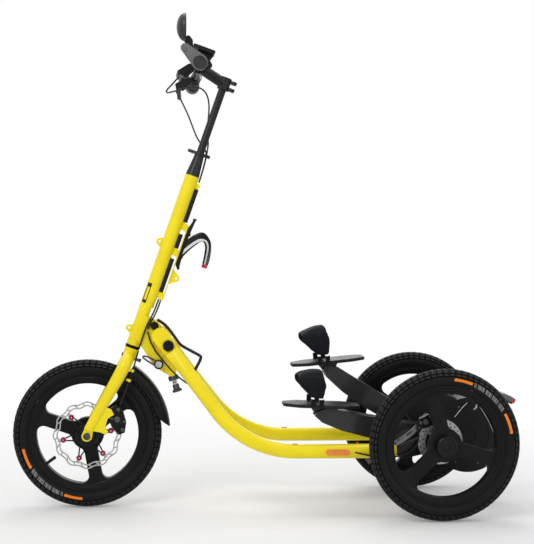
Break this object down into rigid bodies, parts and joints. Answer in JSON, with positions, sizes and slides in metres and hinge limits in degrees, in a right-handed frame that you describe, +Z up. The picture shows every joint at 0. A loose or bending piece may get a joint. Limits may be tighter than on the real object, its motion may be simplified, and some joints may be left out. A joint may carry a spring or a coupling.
{
  "type": "stepper tricycle",
  "caption": "Stand-up scooter-like tricycle driven by two stepping foot pedals, with a folding steering column, disc brakes, a rear drive housing and padded foot loops.",
  "frame": {"origin": "on the floor under the middle of the bounding box", "axes": "+X rearward from the front wheel to the tail light, +Y to the rider's right, +Z up from the floor"},
  "size_m": [1.3794, 0.5674, 1.3059],
  "materials": {
    "frame_yellow": "gloss",
    "black_paint": "satin",
    "wheel_black": "satin",
    "tyre_rubber": "matte",
    "bare_steel": "satin",
    "black_plastic": "matte",
    "grip_rubber": "matte",
    "horn_grey": "satin",
    "pad_fabric": "matte",
    "strap_webbing": "matte",
    "reflector_orange": "gloss",
    "lamp_red": "gloss",
    "cable_black": "satin"
  },
  "bodies": {
    "chassis": {"beam_left": "frame_yellow", "beam_right": "frame_yellow", "hinge_block": "frame_yellow", "hinge_pins": "bare_steel", "lock_knob": "bare_steel", "lift_handle": "bare_steel", "beam_reflectors": "reflector_orange", "rear_carriers": "frame_yellow", "axle_tube": "black_paint", "torque_arms": "bare_steel", "rear_calipers": "black_paint", "drive_housing": "black_plastic", "tail_light": "lamp_red", "cable_rear": "cable_black"},
    "front_frame": {"head_tube": "frame_yellow", "quick_release": "bare_steel", "column_lugs": "frame_yellow", "cable_rail": "frame_yellow", "cable_covers": "black_plastic", "bottle_cage": "black_plastic", "cable_front_upper": "cable_black", "cable_rear_upper": "cable_black"},
    "steering": {"fork": "frame_yellow", "headset_ring": "black_paint", "front_axle": "bare_steel", "front_caliper": "black_paint", "front_fender": "black_plastic", "steering_post": "black_paint", "stem": "black_paint", "handlebar": "black_paint", "grips": "grip_rubber", "bar_horns": "horn_grey", "brake_levers": "black_paint", "cable_hook": "black_paint", "mirror": "black_plastic", "display": "black_plastic", "cable_brake_left": "cable_black", "cable_brake_right": "cable_black", "cable_front": "cable_black"},
    "front_wheel": {"front_tyre": "tyre_rubber", "front_wheel": "wheel_black", "front_rotor": "bare_steel", "rotor_spider": "black_paint"},
    "rear_wheel_left": {"rear_tyre_left": "tyre_rubber", "rear_wheel_left": "wheel_black", "rear_rotor_left": "bare_steel"},
    "rear_wheel_right": {"rear_tyre_right": "tyre_rubber", "rear_wheel_right": "wheel_black", "rear_rotor_right": "bare_steel"},
    "pedal_arm_left": {"pedal_arm_left": "black_paint"},
    "pedal_arm_right": {"pedal_arm_right": "black_paint"},
    "pedal_left": {"pedal_bracket_left": "black_paint", "pedal_sole_left": "black_plastic", "foot_pad_left": "pad_fabric", "foot_strap_left": "strap_webbing"},
    "pedal_right": {"pedal_bracket_right": "black_paint", "pedal_sole_right": "black_plastic", "foot_pad_right": "pad_fabric", "foot_strap_right": "strap_webbing"}
  },
  "joints": [
    {"name": "frame_fold", "type": "hinge", "parent": "chassis", "child": "front_frame", "pos_m": [-0.313, 0, 0.493], "axis": [0, 1, 0], "range_deg": [0, 60]},
    {"name": "steer", "type": "hinge", "parent": "front_frame", "child": "steering", "pos_m": [-0.35475, 0, 0.48416], "axis": [0.3206, 0, 0.9472], "range_deg": [-40, 40]},
    {"name": "front_wheel_spin", "type": "hinge", "parent": "steering", "child": "front_wheel", "pos_m": [-0.49, 0, 0.2], "axis": [0, 1, 0], "continuous": true},
    {"name": "rear_wheel_left_spin", "type": "hinge", "parent": "chassis", "child": "rear_wheel_left", "pos_m": [0.442, -0.21, 0.2], "axis": [0, 1, 0], "continuous": true},
    {"name": "rear_wheel_right_spin", "type": "hinge", "parent": "chassis", "child": "rear_wheel_right", "pos_m": [0.442, 0.21, 0.2], "axis": [0, 1, 0], "continuous": true},
    {"name": "pedal_arm_left_swing", "type": "hinge", "parent": "chassis", "child": "pedal_arm_left", "pos_m": [0.442, -0.072, 0.2], "axis": [0, 1, 0], "range_deg": [0, 20.1]},
    {"name": "pedal_arm_right_swing", "type": "hinge", "parent": "chassis", "child": "pedal_arm_right", "pos_m": [0.442, 0.072, 0.2], "axis": [0, 1, 0], "range_deg": [-20.1, 0]},
    {"name": "pedal_left_tilt", "type": "hinge", "parent": "pedal_arm_left", "child": "pedal_left", "pos_m": [0.13332, -0.072, 0.2628], "axis": [0, 1, 0], "range_deg": [-27.9, 0]},
    {"name": "pedal_right_tilt", "type": "hinge", "parent": "pedal_arm_right", "child": "pedal_right", "pos_m": [0.17371, 0.072, 0.36506], "axis": [0, 1, 0], "range_deg": [0, 27.9]}
  ],
  "couplings": [
    {"joint": "pedal_arm_right_swing", "follows": "pedal_arm_left_swing", "ratio": -1},
    {"joint": "pedal_left_tilt", "follows": "pedal_arm_left_swing", "ratio": -1.388},
    {"joint": "pedal_right_tilt", "follows": "pedal_arm_left_swing", "ratio": 1.388}
  ]
}
